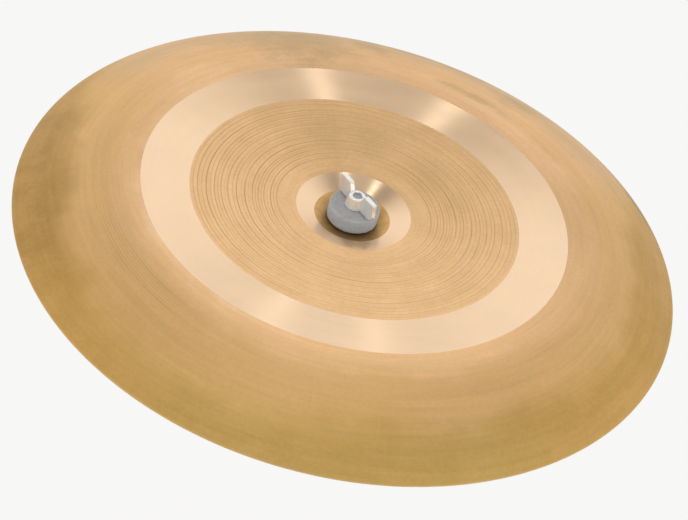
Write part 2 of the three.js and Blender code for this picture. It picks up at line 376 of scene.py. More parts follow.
class Nodes:
    """A node tree with short calls to add and link nodes."""

    def __init__(self, owner):
        """Starts from an empty tree of a material or a world."""
        owner.use_nodes = True
        self.tree = owner.node_tree
        self.tree.nodes.clear()

    def add(self, kind, inputs=None, **settings):
        node = self.tree.nodes.new(kind)
        for key, value in settings.items():
            setattr(node, key, value)
        for key, value in (inputs or {}).items():
            self.put(value, node.inputs[key])
        return node

    def put(self, value, socket):
        if isinstance(value, bpy.types.NodeSocket):
            self.tree.links.new(value, socket)
        else:
            socket.default_value = value

    def feed(self, node, **inputs):
        """Puts values into a node's inputs, whose names have _ here for each space."""
        for key, value in inputs.items():
            self.put(value, node.inputs[key.replace("_", " ")])

    def filled(self, kind, values, **settings):
        """A new node with values in its inputs, in their order."""
        node = self.add(kind, **settings)
        for value, socket in zip(values, node.inputs):
            self.put(value, socket)
        return node

    def math(self, operation, *values):
        return self.filled("ShaderNodeMath", values, operation=operation).outputs[0]

    def vector(self, operation, *values):
        node = self.filled("ShaderNodeVectorMath", values, operation=operation)
        return node.outputs["Value" if operation == "LENGTH" else "Vector"]

    def joined(self, *numbers):
        """A vector of three numbers."""
        return self.filled("ShaderNodeCombineXYZ", numbers).outputs["Vector"]

    def scaled(self, vector, factor):
        """A vector or a colour times a number."""
        node = self.add("ShaderNodeVectorMath", {0: vector, "Scale": factor}, operation="SCALE")
        return node.outputs["Vector"]

    def noise(self, vector, scale, detail=2.0, roughness=0.5):
        node = self.add("ShaderNodeTexNoise", {
            "Vector": vector, "Scale": scale, "Detail": detail, "Roughness": roughness})
        return node.outputs["Fac"]

    def remap(self, value, low, high, to_low=0.0, to_high=1.0, smooth=True):
        """A number moved from one range to another, and held at the ends of that."""
        kind = "SMOOTHSTEP" if smooth else "LINEAR"
        values = (value, low, high, to_low, to_high)
        return self.filled("ShaderNodeMapRange", values, interpolation_type=kind).outputs["Result"]

    def spread(self, value, to_low, to_high):
        """A noise with its usual range drawn out to the range given."""
        return self.remap(value, 0.3, 0.7, to_low, to_high)

    def ramp(self, value, stops):
        """A number that follows stops of (value, number) in straight lines."""
        first, last = stops[0][0], stops[-1][0]
        least, most = min(level for _, level in stops), max(level for _, level in stops)
        node = self.add("ShaderNodeValToRGB", {"Fac": self.remap(value, first, last, smooth=False)})
        points = node.color_ramp.elements
        while len(points) < len(stops):
            points.new(0.5)
        for point, (at, level) in zip(points, stops):
            point.position = (at - first) / (last - first)
            share = (level - least) / (most - least)
            point.color = (share, share, share, 1.0)
        return self.remap(node.outputs["Color"], 0.0, 1.0, least, most, smooth=False)

    def mix(self, factor, first, second):
        node = self.add("ShaderNodeMix", {0: factor, 6: first, 7: second}, data_type="RGBA")
        return node.outputs[2]

    def tinted(self, colour, amount, share, tint):
        """The colour, drawn a share of the way to the tint where amount is 1."""
        return self.mix(self.math("MULTIPLY", amount, share), colour, tint)

    def shaded(self, colour, marks, low, high):
        """The colour, made darker and paler by noise."""
        return self.scaled(colour, self.spread(marks, low, high))

    def bump(self, height, distance, strength):
        node = self.add("ShaderNodeBump", {"Height": height, "Distance": distance, "Strength": strength})
        return node.outputs["Normal"]

    def places(self):
        """Object coordinates in millimetres."""
        return self.scaled(self.add("ShaderNodeTexCoord").outputs["Object"], 1 / MM)

    def choice(self, factor, first, second):
        """A shader node that shows one shader node or another."""
        return self.filled("ShaderNodeMixShader", (factor, first.outputs[0], second.outputs[0]))

    def show(self, shader, kind="ShaderNodeOutputMaterial"):
        """Makes a shader node the one that is seen."""
        self.add(kind, {"Surface": shader.outputs[0]})


class RoundNodes(Nodes):
    """Nodes for the cymbal, which know a place's radius, the direction outwards and the azimuth."""

    def __init__(self, owner):
        super().__init__(owner)
        self.place = self.places()
        flat = self.vector("MULTIPLY", self.place, (1.0, 1.0, 0.0))
        split = self.add("ShaderNodeSeparateXYZ", {"Vector": self.place}).outputs
        self.radius = self.vector("LENGTH", flat)
        self.outwards = self.vector("NORMALIZE", flat)
        self.azimuth = self.math("DEGREES", self.math("ARCTAN2", split["Y"], split["X"]))

    def marks(self, across, along, detail=3.0, roughness=0.6):
        """Noise that is drawn out round the axis, as a lathe's marks are."""
        away = self.joined(0.0, 0.0, self.math("MULTIPLY", self.radius, across))
        place = self.vector("ADD", self.scaled(self.outwards, along), away)
        return self.noise(place, 1.0, detail, roughness)

    def stain_and_painted_light(self, ragged, place, size):
        """A ragged cloud, 1 inside and 0 outside, used both for stains and for painted shade and
        reflection: its place and half size as (radius, azimuth).
        """
        across = self.math("DIVIDE", self.math("SUBTRACT", self.radius, place[0]), size[0])
        along = self.math("DIVIDE", self.math("SUBTRACT", self.azimuth, place[1]), size[1])
        distance = self.vector("LENGTH", self.joined(across, along, 0.0))
        return self.remap(self.math("ADD", distance, self.spread(ragged, -0.45, 0.45)), 1.45, 0.15)

    def stains(self, ragged, spots):
        """Several tarnished clouds, from the place and half size of each."""
        total = 0.0
        for place, size in spots:
            total = self.math("MAXIMUM", total, self.stain_and_painted_light(ragged, place, size))
        return total

    def grooved(self, colour, share, tint):
        """The colour, drawn towards the tint in the grooves of the mesh."""
        groove = self.add("ShaderNodeAttribute", attribute_name="groove").outputs["Fac"]
        return self.tinted(colour, groove, share, tint)


def rgb(red, green, blue):
    return (red, green, blue, 1.0)


def surface(name, colour, kind=Nodes, **settings):
    """A material, its nodes and its shader. Constants are set on the shader's own sockets."""
    material = bpy.data.materials.new(name)
    nodes = kind(material)
    shader = nodes.add("ShaderNodeBsdfPrincipled", {"Base Color": colour})
    nodes.show(shader)
    nodes.feed(shader, **settings)
    material.diffuse_color = colour
    return material, nodes, shader


def brushed_bronze(name, colour, roughness, anisotropic):
    """Bronze with fine marks round the axis, which draw a lamp's highlight out across them."""
    material, nodes, shader = surface(name, colour, RoundNodes, Metallic=1.0, Roughness=roughness,
                                      Anisotropic=anisotropic, Anisotropic_Rotation=0.25)
    tangent = nodes.add("ShaderNodeTangent", direction_type="RADIAL", axis="Z")
    nodes.feed(shader, Tangent=tangent.outputs["Tangent"])
    return material, nodes, shader


# Bronze

def polished_bronze():
    """The two bright rings: finely brushed round the axis, so a lamp draws a fan across them."""
    material, nodes, shader = brushed_bronze("polished_bronze", rgb(0.97, 0.70, 0.465), 0.34, 1.0)
    wide = nodes.marks(0.3, 1.1, 1.0)
    haze = nodes.noise(nodes.place, 0.03, 3.0)
    # Painted reflection: a darker brown cloud on the near wall of the bell ring, where the felt and the
    # wing nut are mirrored.
    painted_reflection = nodes.stain_and_painted_light(nodes.noise(nodes.place, 0.15, 3.0), (32, -78), (10, 20))
    dulled = nodes.remap(nodes.radius, 50.0, 100.0, 0.065, 0.0)
    colour = nodes.mix(nodes.spread(haze, 0.0, 1.0), rgb(0.99, 0.72, 0.485), rgb(0.96, 0.70, 0.475))
    colour = nodes.tinted(colour, painted_reflection, 0.5, rgb(0.52, 0.36, 0.19))
    nodes.feed(shader, Base_Color=nodes.shaded(colour, wide, 0.99, 1.0),
               Roughness=nodes.math("ADD", nodes.spread(wide, 0.23, 0.25), dulled))
    return material


def lathed_bronze():
    """The bow and the outside of the bell: dull metal with the turning tool's dark grooves."""
    material, nodes, shader = brushed_bronze("lathed_bronze", rgb(0.85, 0.56, 0.29), 0.5, 0.5)
    fine, wide = nodes.marks(1.7, 2.2), nodes.marks(0.42, 1.1)
    clouds = nodes.noise(nodes.place, 0.045, 4.0, 0.6)
    mottle = nodes.noise(nodes.place, 0.4, 4.0, 0.7)
    tarnish_and_painted_shade = nodes.stains(clouds, [
        ((74, 22), (12, 15)), ((68, 45), (16, 18)), ((80, 92), (20, 14)), ((80, 114), (20, 14))])
    # Painted light: lighter on the near side and darker on the far side, as the light falls there.
    painted_light = nodes.ramp(nodes.azimuth, [
        (-180, 1.01), (-110, 1.09), (-50, 1.07), (-10, 0.98), (40, 1.01), (84, 0.97), (110, 0.95),
        (150, 1.03), (180, 1.01)])
    colour = nodes.mix(nodes.spread(clouds, 0.0, 1.0), rgb(0.895, 0.60, 0.322), rgb(0.84, 0.558, 0.29))
    colour = nodes.tinted(colour, tarnish_and_painted_shade, 0.34, rgb(0.62, 0.43, 0.20))
    colour = nodes.shaded(nodes.scaled(colour, painted_light), mottle, 0.955, 1.035)
    colour = nodes.shaded(nodes.shaded(colour, fine, 0.95, 1.03), wide, 0.96, 1.03)
    nodes.feed(shader, Base_Color=nodes.grooved(colour, 0.85, rgb(0.42, 0.19, 0.06)),
               Roughness=nodes.spread(fine, 0.44, 0.55), Normal=nodes.bump(fine, 0.00012, 0.3))
    return material


def flange_colour(nodes):
    """Pale beside the polished ring, darker outwards, and brown past the edge of the patina."""
    radius, azimuth = nodes.radius, nodes.azimuth
    drift = nodes.noise(nodes.place, 0.016, 3.0)
    blots = nodes.noise(nodes.place, 0.05, 4.0, 0.6)
    wisps = nodes.marks(0.22, 2.4, 3.0, 0.5)
    streaks = nodes.marks(0.5, 3.0)
    shifted = nodes.math("ADD", radius, nodes.spread(drift, -5.0, 5.0))
    shifted = nodes.math("ADD", shifted, nodes.spread(blots, -2.5, 2.5))
    edge = nodes.ramp(azimuth, PATINA_EDGE)
    aged = nodes.remap(edge, CLEAN_EDGE, AGED_EDGE)
    inner = nodes.mix(aged, rgb(0.83, 0.55, 0.31), rgb(0.765, 0.50, 0.26))
    middle = nodes.mix(aged, rgb(0.73, 0.465, 0.228), rgb(0.69, 0.447, 0.198))
    outer = nodes.mix(aged, rgb(0.60, 0.40, 0.202), rgb(0.63, 0.40, 0.152))
    colour = nodes.mix(nodes.remap(shifted, 156.0, 176.0), inner, middle)
    colour = nodes.mix(nodes.remap(shifted, 178.0, 214.0), colour, outer)

    left = nodes.ramp(azimuth, [(-180, 1), (-150, 1), (-128, 0), (150, 0), (180, 1)])
    brown_colour = nodes.mix(left, rgb(0.52, 0.32, 0.10), rgb(0.43, 0.26, 0.08))
    brown_colour = nodes.mix(nodes.spread(blots, 0.0, 0.4), brown_colour, rgb(0.60, 0.375, 0.14))
    brown = nodes.remap(nodes.math("SUBTRACT", shifted, edge), -12.0, 9.0)
    colour = nodes.mix(brown, colour, brown_colour)
    clouds = nodes.stains(blots, [
        ((192, 112), (34, 13)), ((208, 58), (18, 6)), ((169, 66), (6, 9)), ((202, 95), (16, 6)),
        ((224, 78), (14, 22))])
    colour = nodes.tinted(colour, clouds, 0.42, rgb(0.40, 0.285, 0.14))

    # Painted light: the near side of the flange is made lighter, more towards the rim, for lamp light that
    # does not reach it.
    near = nodes.ramp(azimuth, [
        (-180, 0), (-160, 0.1), (-145, 0.3), (-130, 0.7), (-110, 1), (-80, 1), (-50, 0.4), (-15, 0),
        (180, 0)])
    painted_light_lift = nodes.ramp(radius, [
        (150, 0.09), (165, 0.09), (177, 0.12), (197, 0.22), (217, 0.35), (228, 0.38)])
    colour = nodes.scaled(colour, nodes.math("ADD", nodes.math("MULTIPLY", near, painted_light_lift), 1.0))
    olive = nodes.ramp(azimuth, [
        (-180, 0), (-130, 0), (-105, 0.8), (-60, 1), (-45, 0.3), (-20, 0), (180, 0)])
    olive = nodes.math("MULTIPLY", olive, nodes.remap(radius, 180.0, 218.0))
    colour = nodes.mix(olive, colour, nodes.vector("MULTIPLY", colour, (1.02, 1.12, 1.2)))
    rubbed = nodes.ramp(azimuth, [(-180, 0.3), (-150, 0.9), (-125, 0.8), (-95, 0.1), (-60, 0), (180, 0.3)])
    rubbed = nodes.math("MULTIPLY", rubbed, nodes.remap(shifted, 146.0, 157.0, 1.0, 0.0))
    colour = nodes.mix(rubbed, colour, rgb(0.92, 0.65, 0.41))
    # Painted shade: a dark cloud at the far right of the rim.
    painted_rim_shade = nodes.stain_and_painted_light(blots, (229, 25), (6, 15))
    colour = nodes.tinted(colour, painted_rim_shade, 0.55, rgb(0.30, 0.20, 0.09))
    # Painted light: lighter and darker by azimuth, as the light falls round the flange.
    painted_light = nodes.ramp(azimuth, [
        (-180, 1.07), (-145, 1.04), (-50, 1.09), (10, 0.98), (50, 1.08), (85, 1.05), (112, 0.99),
        (140, 1.10), (165, 1.10), (180, 1.07)])
    colour = nodes.shaded(nodes.scaled(colour, painted_light), streaks, 0.975, 1.02)
    return nodes.shaded(colour, wisps, 0.97, 1.025)


def raw_bronze():
    """The crease and the flange: left raw, with a cloudy brown patina towards the rim."""
    material, nodes, shader = brushed_bronze("raw_bronze", rgb(0.70, 0.44, 0.19), 0.5, 0.2)
    fine = nodes.marks(1.7, 2.2)
    mottle = nodes.noise(nodes.place, 0.4, 4.0, 0.7)
    colour = nodes.shaded(nodes.shaded(flange_colour(nodes), mottle, 0.965, 1.025), fine, 0.975, 1.015)
    nodes.feed(shader, Base_Color=nodes.grooved(colour, 0.28, rgb(0.30, 0.17, 0.06)),
               Roughness=nodes.spread(fine, 0.47, 0.55), Normal=nodes.bump(fine, 0.0001, 0.15))
    return material


def rim_bronze():
    """The rim's edge: rubbed bright, with painted shade darkening it on the far right."""
    material, nodes, shader = surface(
        "rim_bronze", rgb(0.82, 0.58, 0.36), RoundNodes, Metallic=1.0, Roughness=0.4)
    specks = nodes.noise(nodes.place, 0.12, 3.0, 0.6)
    # Painted shade: the rim is darkened on the far right.
    tarnish_and_painted_shade = nodes.stain_and_painted_light(specks, (RIM_RADIUS, 38), (20, 34))
    colour = nodes.mix(nodes.spread(specks, 0.0, 0.35), rgb(0.68, 0.48, 0.26), rgb(0.46, 0.31, 0.15))
    nodes.feed(shader, Base_Color=nodes.mix(tarnish_and_painted_shade, colour, rgb(0.20, 0.15, 0.08)),
               Roughness=nodes.spread(specks, 0.34, 0.5))
    return material


def floor_bronze():
    """The floor of the bell, brown from the hammer and the furnace, with painted shadow darker towards the
    felt and on its near side.
    """
    material, nodes, shader = surface(
        "bell_floor_bronze", rgb(0.60, 0.37, 0.16), RoundNodes, Metallic=1.0, Roughness=0.36)
    fine = nodes.marks(1.7, 2.2)
    clouds = nodes.noise(nodes.place, 0.12, 4.0, 0.6)
    # Painted shadow: a dark brown cloud on the near side beside the felt.
    brown = nodes.stain_and_painted_light(clouds, (21, -80), (8, 45))
    colour = nodes.mix(nodes.spread(clouds, 0.0, 1.0), rgb(0.74, 0.465, 0.19), rgb(0.64, 0.39, 0.15))
    # Painted shadow: darker towards the felt's edge.
    colour = nodes.scaled(colour, nodes.remap(nodes.radius, FELT_RADIUS, BELL_RING[0], 0.62, 1.04))
    colour = nodes.tinted(colour, brown, 0.6, rgb(0.24, 0.13, 0.04))
    nodes.feed(shader, Base_Color=nodes.shaded(colour, fine, 0.92, 1.04),
               Roughness=nodes.spread(clouds, 0.40, 0.50), Normal=nodes.bump(fine, 0.0001, 0.3))
    return material


# Cymbal

def surface_at(radius):
    """Height, slope in radians and thickness of the playing surface at a radius."""
    height = CYMBAL_FLOOR
    for (inner, slope, thick), (outer, next_slope, next_thick) in zip(STATIONS, STATIONS[1:]):
        start, end = math.radians(slope), math.radians(next_slope)
        share = (radius - inner) / (outer - inner)
        if share <= 1 or outer == RIM_RADIUS:
            here = math.asin(math.sin(start) + (math.sin(end) - math.sin(start)) * share)
            rise = (radius - inner) * math.tan((start + here) / 2)
            return height + rise, here, thick + (next_thick - thick) * max(share, 0)
        height += (outer - inner) * math.tan((start + end) / 2)


def under_height(radius):
    """Height of the underside at a radius."""
    height, slope, thick = surface_at(radius)
    return height - thick * math.cos(slope)


def groove_radii(rng):
    """Where the turning tool's grooves are, closer together towards the bell."""
    radius, found = GROOVED[0], []
    while radius < GROOVED[1]:
        found.append(radius)
        radius += np.interp(radius, GROOVED, GROOVE_STEPS) * rng.uniform(*GROOVE_STEP_SHARES)
    return found


def groove_strength(rng):
    """How deep a groove is round the axis, as a share: most on the left and the right."""
    angle = angles(CYMBAL_SEGMENTS)
    side = 0.50 + 0.20 * np.cos(2 * (angle - math.radians(5))) - 0.10 * np.cos(angle)
    return np.clip(side + waves(rng, (1, 2, 3, 5, 9, 14), 0.17), 0.06, 1.0)


def fine_line_strength(rng):
    """The finer lines are on the near left only."""
    away = (np.degrees(angles(CYMBAL_SEGMENTS)) - FINE_LINES_AZIMUTH + 180) % 360 - 180
    bell = np.exp(-(away / FINE_LINES_SPREAD) ** 2)
    return np.clip(bell * (0.75 + waves(rng, (3, 7, 12, 19), 0.3)), 0.0, 1.0)


def line_rings(line, wander, strength, depth):
    """The rings that make one groove: its two lips, its sides and its bottom."""
    return [(line + across * GROOVE_HALF_WIDTH,
             (wander, depth * share * strength, max(share, 0) * strength))
            for across, share in GROOVE_SHAPE_SHARES]


def ring_radii(zones):
    """Radii of rings, from the first and last radius and the number of each zone."""
    return [radius for zone in zones for radius in np.linspace(*zone)]


def top_rings(rng):
    """Rings of the playing surface: radius, and in a groove its wander, depth and shade by segment."""
    lines = groove_radii(rng)
    clear = GROOVE_HALF_WIDTH + GROOVE_CLEARANCE
    rings = [(radius, None) for radius in [*BELL_RING, *BOW_RING] + ring_radii(TOP_RINGS)
             if all(abs(radius - line) > clear for line in lines + list(FINE_LINES))]
    for i, line in enumerate(lines):
        wander = waves(rng, (1, 2, 3, 5), 0.2)
        strength = groove_strength(rng)
        weak_or_strong = rng.uniform(0.3, 0.6) if i % 2 else rng.uniform(0.8, 1.1)
        rings += line_rings(line, wander, strength * weak_or_strong, GROOVE_DEPTH)
    for line in FINE_LINES:
        wander = waves(rng, (2, 3), 0.1)
        rings += line_rings(line, wander, fine_line_strength(rng), FINE_LINE_DEPTH)
    return sorted(rings, key=lambda ring: ring[0])


def zone_of(radius):
    """The finish of the playing surface from a radius outwards."""
    for end, zone in zip((*BELL_RING, *BOW_RING), ("floor", "polished", "lathed", "polished")):
        if radius < end - 1e-6:
            return zone
    return "raw"


def hand_work(rng):
    """The slow unevenness that hand work leaves: a function of radius that gives heights by segment."""
    places = np.linspace(HAND_START, RIM_RADIUS, HAND_LINES)
    lines = [waves(rng, (2, 3, 4, 5, 7), HAND_HEIGHT) for _ in places]

    def height(radius):
        at = min(np.interp(radius, places, range(HAND_LINES)), HAND_LINES - 1.001)
        low = int(at)
        line = lines[low] * (1 - (at - low)) + lines[low + 1] * (at - low)
        grown = np.clip((radius - BOW_START) / HAND_FADES[0], 0, 1)
        return line * grown * np.clip((RIM_RADIUS - radius) / HAND_FADES[1], 0.15, 1)
    return height


def rim_rows(hand):
    """The rim's round edge, from the playing surface to the underside."""
    start = RIM_RADIUS - RIM_THICKNESS / 2
    height, slope, thick = surface_at(start)
    centre = (start + thick / 2 * math.sin(slope) - RIM_INSET, height - thick / 2 * math.cos(slope))
    lean = math.degrees(slope)
    return [(r * ROUND, z + hand(start), 0 * ROUND, "rim")
            for r, z in arc(centre, thick / 2, 90 + lean, -90 + lean, 8)]


def underside_rows(hand):
    """The underside from the rim to the hole, with the turning tool's shallow steps."""
    rows = []
    for i, radius in enumerate(ring_radii(UNDERSIDE_RINGS)):
        height, slope, thick = surface_at(radius)
        stepped = UNDERSIDE_STEPPED[0] < radius < UNDERSIDE_STEPPED[1]
        step = (UNDERSIDE_STEP if i % 2 else -UNDERSIDE_STEP) * stepped
        rows.append(((radius + thick * math.sin(slope)) * ROUND,
                     height - thick * math.cos(slope) + hand(radius) + step,
                     UNDERSIDE_SHADE * ROUND * (i % 2), "under"))
    return rows


def hole_rows():
    """The hole's edge, from the underside up to the playing surface."""
    edge = HOLE_RADIUS + HOLE_INSET
    return [(radius * ROUND, (surface_at(radius)[0] - drop) * ROUND, 0 * ROUND, "floor")
            for radius, drop in ((edge + HOLE_CORNER, BELL_THICKNESS), (edge, BELL_THICKNESS - HOLE_CORNER),
                                 (edge, HOLE_CORNER), (edge + HOLE_CORNER, HOLE_LIP))]


def cymbal_rows(rng):
    """All rings of the sheet, from the hole along the top to the rim and back below:
    arrays of radius, height and groove shade by segment, and the finish that starts there."""
    hand = hand_work(rng)
    rows = []
    for radius, groove in top_rings(rng):
        wander, dip, shade = groove or (0, 0, 0 * ROUND)
        height = surface_at(radius)[0] + hand(radius) - dip
        rows.append((radius * ROUND + wander, height, shade, zone_of(radius)))
    return rows + rim_rows(hand) + underside_rows(hand) + hole_rows()


def make_cymbal():
    """One sheet of bronze with its finishes, each a material of its own."""
    radii, heights, shades, zones = zip(*cymbal_rows(np.random.default_rng(18)))
    mesh = grid_mesh("cymbal_sheet", ring_places(np.array(radii), np.array(heights)))
    shade = mesh.attributes.new("groove", "FLOAT", "POINT")
    shade.data.foreach_set("value", np.concatenate(shades).astype(np.float32))
    for finish in (polished_bronze, lathed_bronze, raw_bronze, floor_bronze, rim_bronze):
        mesh.materials.append(finish())
    slots = {"polished": 0, "lathed": 1, "raw": 2, "floor": 3, "rim": 4, "under": 1}
    index = np.repeat([slots[zone] for zone in zones], CYMBAL_SEGMENTS).astype(np.int32)
    mesh.polygons.foreach_set("material_index", index)
    piece = object_of("cymbal_sheet", mesh)
    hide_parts("china_cymbal")
    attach(piece, "cymbal")


# Felts

def felt_material():
    """Pressed grey wool: short fibres lying every way, lighter where they stand up, with a side painted
    lighter and bluer against the brown light that the bronze throws on it.
    """
    material, nodes, shader = surface(
        "grey_felt", rgb(0.38, 0.395, 0.41), Roughness=0.95,
        Sheen_Weight=0.25, Sheen_Roughness=0.6, Specular_IOR_Level=0.2)
    rest = nodes.add("ShaderNodeAttribute", attribute_name="rest_place", attribute_type="GEOMETRY")
    place = nodes.scaled(rest.outputs["Vector"], 1 / MM)
    swirl = nodes.add("ShaderNodeTexNoise", {"Vector": place, "Scale": 0.5}).outputs["Color"]
    bent = nodes.vector("ADD", place, nodes.scaled(swirl, 2.5))
    fibres = nodes.math("MAXIMUM", *[
        nodes.noise(nodes.vector("MULTIPLY", bent, drawn_out), 1.0, 3.0, 0.6)
        for drawn_out in ((7.0, 0.9, 2.0), (0.9, 7.0, 2.0))])
    clumps = nodes.noise(place, 0.35, 4.0, 0.6)
    colour = nodes.mix(nodes.remap(fibres, 0.45, 0.75), rgb(0.402, 0.407, 0.417), rgb(0.56, 0.56, 0.57))
    radius = nodes.vector("LENGTH", nodes.vector("MULTIPLY", place, (1.0, 1.0, 0.0)))
    # Painted light: the felt's side is made lighter and bluer, against the brown light that the bronze
    # throws on it.
    side = nodes.remap(radius, FELT_SIDE_START, FELT_SIDE_END)
    colour = nodes.mix(side, colour, nodes.vector("MULTIPLY", colour, (1.12, 1.22, 1.32)))
    height = nodes.math("ADD", fibres, nodes.math("MULTIPLY", clumps, 0.8))
    nodes.feed(shader, Base_Color=nodes.shaded(colour, clumps, 0.93, 1.06),
               Normal=nodes.bump(height, 0.0004, 0.6))
    return material


def felt_piece(name, profile, cut_at, flat_at=None):
    """A turned felt, cut from the wool at a height. Its skin is uneven but for what is near flat_at."""
    line = np.array(sampled(profile))
    places = ring_places(*level_rows(line, FELT_SEGMENTS))
    shift = np.zeros(places.shape[:2])
    for i, (radius, height) in enumerate(line):
        if radius < FELT_CALM_RADIUS:
            continue
        ease = 1.0 if flat_at is None else min(1.0, abs(height - flat_at) / FELT_CALM_HEIGHT)
        for j in range(FELT_SEGMENTS):
            place = places[i, j] + (0, 0, cut_at)
            lumps, nap = wool(place, FELT_LUMP_SIZE, 4), wool(place, FELT_NAP_SIZE, 2)
            shift[i, j] = ease * (FELT_LUMPS * lumps + FELT_NAP * nap - FELT_SINK)
    forward = np.roll(line, -1, 0) - np.roll(line, 1, 0)
    out = np.stack([forward[:, 1], -forward[:, 0]], -1)
    out /= np.maximum(np.linalg.norm(out, axis=1), 1e-9)[:, None]
    radii = line[:, :1] + out[:, :1] * shift
    heights = line[:, 1:] + out[:, 1:] * shift
    mesh = grid_mesh(name, ring_places(radii, heights))
    clean(mesh)
    place = mesh.attributes.new("rest_place", "FLOAT_VECTOR", "POINT")
    place.data.foreach_set("vector", np.array([v.co for v in mesh.vertices], np.float32).ravel())
    return object_of(name, mesh)


def sampled(points):
    """The same closed line with points no further apart than a felt's step."""
    made = []
    for (ra, za), (rb, zb) in zip(points, points[1:] + points[:1]):
        count = max(1, math.ceil(math.hypot(rb - ra, zb - za) / FELT_STEP))
        made += [(ra + (rb - ra) * k / count, za + (zb - za) * k / count) for k in range(count)]
    return made


def on_axis(height):
    """A place on the axis, in metres."""
    return (0, 0, height * MM)


def make_upper_felt(material):
    """Two halves: the lower beds on the bell, the upper keeps flat under the nut."""
    bed = [(r, surface_at(r)[0] + FELT_SEAT_GAP) for r in FELT_BED]
    split = [(FELT_RADIUS, FELT_SPLIT), (FELT_BORE, FELT_SPLIT)]
    lower = bed[:-1] + arc((FELT_INNER, bed[-1][1] + FELT_ROUND), FELT_ROUND, -90, 0)
    lower += split + [(TILTING_BORE, FELT_SPLIT - FELT_BORE_STEP)]
    upper = split[::-1] + arc((FELT_INNER, UPPER_FELT_TOP - FELT_ROUND), FELT_ROUND, 0, 90)
    upper.append((FELT_BORE, UPPER_FELT_TOP))
    bed_piece = felt_piece("upper_felt_bed", lower, UPPER_FELT_CUT, FELT_SPLIT)
    crown = felt_piece("upper_felt_crown", upper, UPPER_FELT_CUT, FELT_SPLIT)
    for piece in (bed_piece, crown):
        finish_piece(piece, material, "upper_felt")
    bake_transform(bed_piece)
    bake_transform(crown)


def make_lower_felt(material):
    """The felt in the cup washer, pressed hollow by the outside of the bell."""
    bed = [(r, under_height(r) - FELT_SEAT_GAP) for r in FELT_BED[::-1]]
    profile = [(FELT_BORE, LOWER_FELT_BOTTOM), (FELT_RADIUS - CUP_WALL_RUN, LOWER_FELT_BOTTOM),
               (FELT_RADIUS, LOWER_FELT_BOTTOM + CUP_WALL_RUN * math.tan(math.radians(CUP_SLOPE)))]
    profile += arc((FELT_INNER, bed[0][1] - FELT_ROUND), FELT_ROUND, 0, 90) + bed[1:]
    profile += [(TILTING_BORE, SEAT_BEND_START + SEAT_BORE_STEP),
                (FELT_BORE, SEAT_BEND_START - SEAT_BORE_STEP)]
    pad = felt_piece("seat_felt_pad", profile, LOWER_FELT_CUT)
    finish_piece(pad, material, "lower_felt")
    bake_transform(pad)


# Hardware

def plated(name, colour, roughness, grain_scale, metallic=1.0):
    """Plated metal, a little uneven in shine, with faint staining."""
    material, nodes, shader = surface(name, colour, Metallic=metallic, Roughness=roughness)
    place = nodes.places()
    grain = nodes.noise(place, grain_scale, 4.0, 0.6)
    cloud = nodes.noise(place, 0.25, 3.0)
    nodes.feed(shader, Base_Color=nodes.shaded(colour[:3], cloud, 0.93, 1.0),
               Roughness=nodes.spread(grain, roughness * 0.8, roughness * 1.25),
               Normal=nodes.bump(grain, 0.00015, 0.25))
    return material


def nylon_material():
    """Dull black plastic with a fine moulded grain."""
    material, nodes, shader = surface("black_nylon", rgb(0.02, 0.02, 0.021), Roughness=0.5)
    grain = nodes.noise(nodes.places(), 1.6, 3.0, 0.6)
    nodes.feed(shader, Base_Color=nodes.mix(grain, rgb(0.016, 0.016, 0.017), rgb(0.026, 0.026, 0.027)),
               Roughness=nodes.spread(grain, 0.42, 0.58), Normal=nodes.bump(grain, 0.0001, 0.3))
    return material


def thread_rows(bottom, top, play=0.0):
    """Radii and heights of an M8 thread's rows, each row running up the screw by one pitch a turn.
    Rows past either end stay at that end, so the caller gives each end one radius."""
    shares = np.array([0.0, 0.07, 0.42, 0.58, 0.93])
    radii = np.array([THREAD_CREST, THREAD_CREST, THREAD_ROOT, THREAD_ROOT, THREAD_CREST]) + play
    turns = math.ceil((top - bottom) / PITCH) + 3
    at = (np.arange(turns)[:, None] + shares).ravel()
    lead = np.arange(THREAD_SEGMENTS) / THREAD_SEGMENTS
    first = math.floor(bottom / PITCH) - 1
    heights = np.clip((first + at[:, None] + lead) * PITCH, bottom, top)
    return np.broadcast_to(np.tile(radii, turns)[:, None], heights.shape), heights


def follow(heights, *stops):
    """Radii at the heights, on straight lines between stops of (height, radius) and level past them."""
    return np.interp(heights, *zip(*stops))


def make_post(material):
    """The shank and the threaded stud, one turned piece."""
    radii, heights = thread_rows(SHANK_LENGTH, STUD_TOP)
    limit = follow(heights, (SHANK_LENGTH + RELIEF_LENGTH, NECK_RADIUS),
                   (SHANK_LENGTH + 2 * RELIEF_LENGTH, FULL_RADIUS), (STUD_TOP - STUD_TIP, FULL_RADIUS),
                   (STUD_TOP, NECK_RADIUS))
    inner = SHANK_RADIUS - SHANK_ROUND
    shank = [(0, 0)] + arc((inner, SHANK_ROUND), SHANK_ROUND, -90, 0, 4)
    shank += arc((inner, SHANK_LENGTH - SHANK_ROUND), SHANK_ROUND, 0, 90, 4)
    post = stacked("stand_post", level_rows(shank), (np.minimum(radii, limit), heights),
                   level_rows([(0, STUD_TOP)]))
    finish_piece(post, material, "tilter_post", "post")


def make_sleeve(material):
    """The nylon tube through the felts and the cymbal."""
    bevel, shoulder = SMALL_BEVEL, 3 * SMALL_BEVEL
    profile = [(WASHER_BORE, SLEEVE_BOTTOM), (SLEEVE_RADIUS - bevel, SLEEVE_BOTTOM),
               (SLEEVE_RADIUS, SLEEVE_BOTTOM + bevel), (SLEEVE_RADIUS, SLEEVE_TOP - shoulder),
               (SLEEVE_RADIUS - shoulder, SLEEVE_TOP), (WASHER_BORE + bevel, SLEEVE_TOP),
               (WASHER_BORE, SLEEVE_TOP - bevel)]
    finish_piece(turned("sleeve_tube", profile), material, "sleeve", "post")


